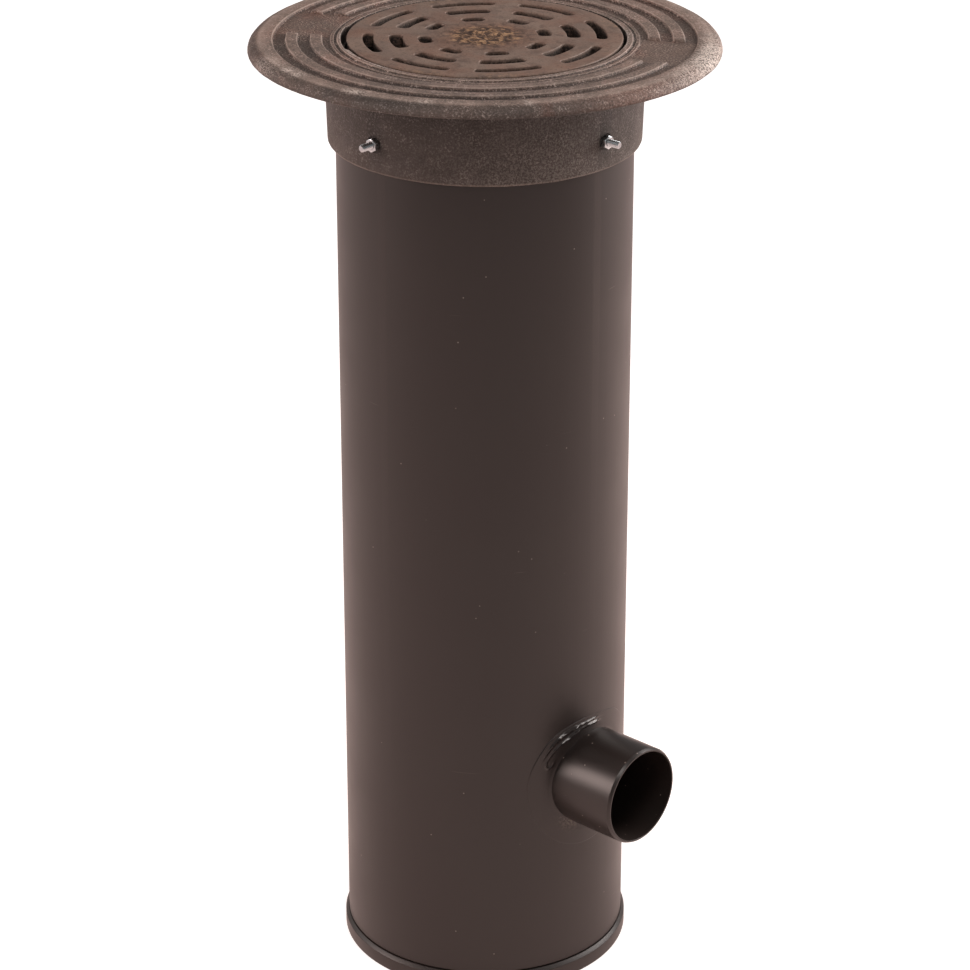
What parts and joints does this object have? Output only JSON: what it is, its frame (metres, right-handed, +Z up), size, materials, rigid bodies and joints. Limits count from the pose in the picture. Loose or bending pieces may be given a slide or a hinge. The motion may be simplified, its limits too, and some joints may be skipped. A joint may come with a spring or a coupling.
{
  "type": "rainwater gully",
  "caption": "Tall rainwater gully: closed plastic riser with a welded base and a low side outlet, capped by a round cast-iron flange frame with a loose slotted grate.",
  "frame": {"origin": "centre of the base plate's underside", "axes": "+Z up along the riser, +X along the outlet"},
  "size_m": [0.495, 0.495, 1.0621],
  "materials": {
    "polyethylene": "satin extruded polyethylene, brown-black",
    "frame_iron": "sand-cast iron, dark, thinly rusted",
    "grate_iron": "sand-cast iron, worn smooth on top, brown rust",
    "zinc_steel": "bright zinc plating"
  },
  "bodies": {
    "root": {"base_plate": "polyethylene", "base_weld": "polyethylene", "riser_pipe": "polyethylene", "outlet_spigot": "polyethylene", "outlet_weld": "polyethylene", "frame": "frame_iron", "grate": "grate_iron", "fixing_bolts": "zinc_steel", "fixing_nuts": "zinc_steel", "fixing_washers": "zinc_steel"}
  },
  "joints": []
}
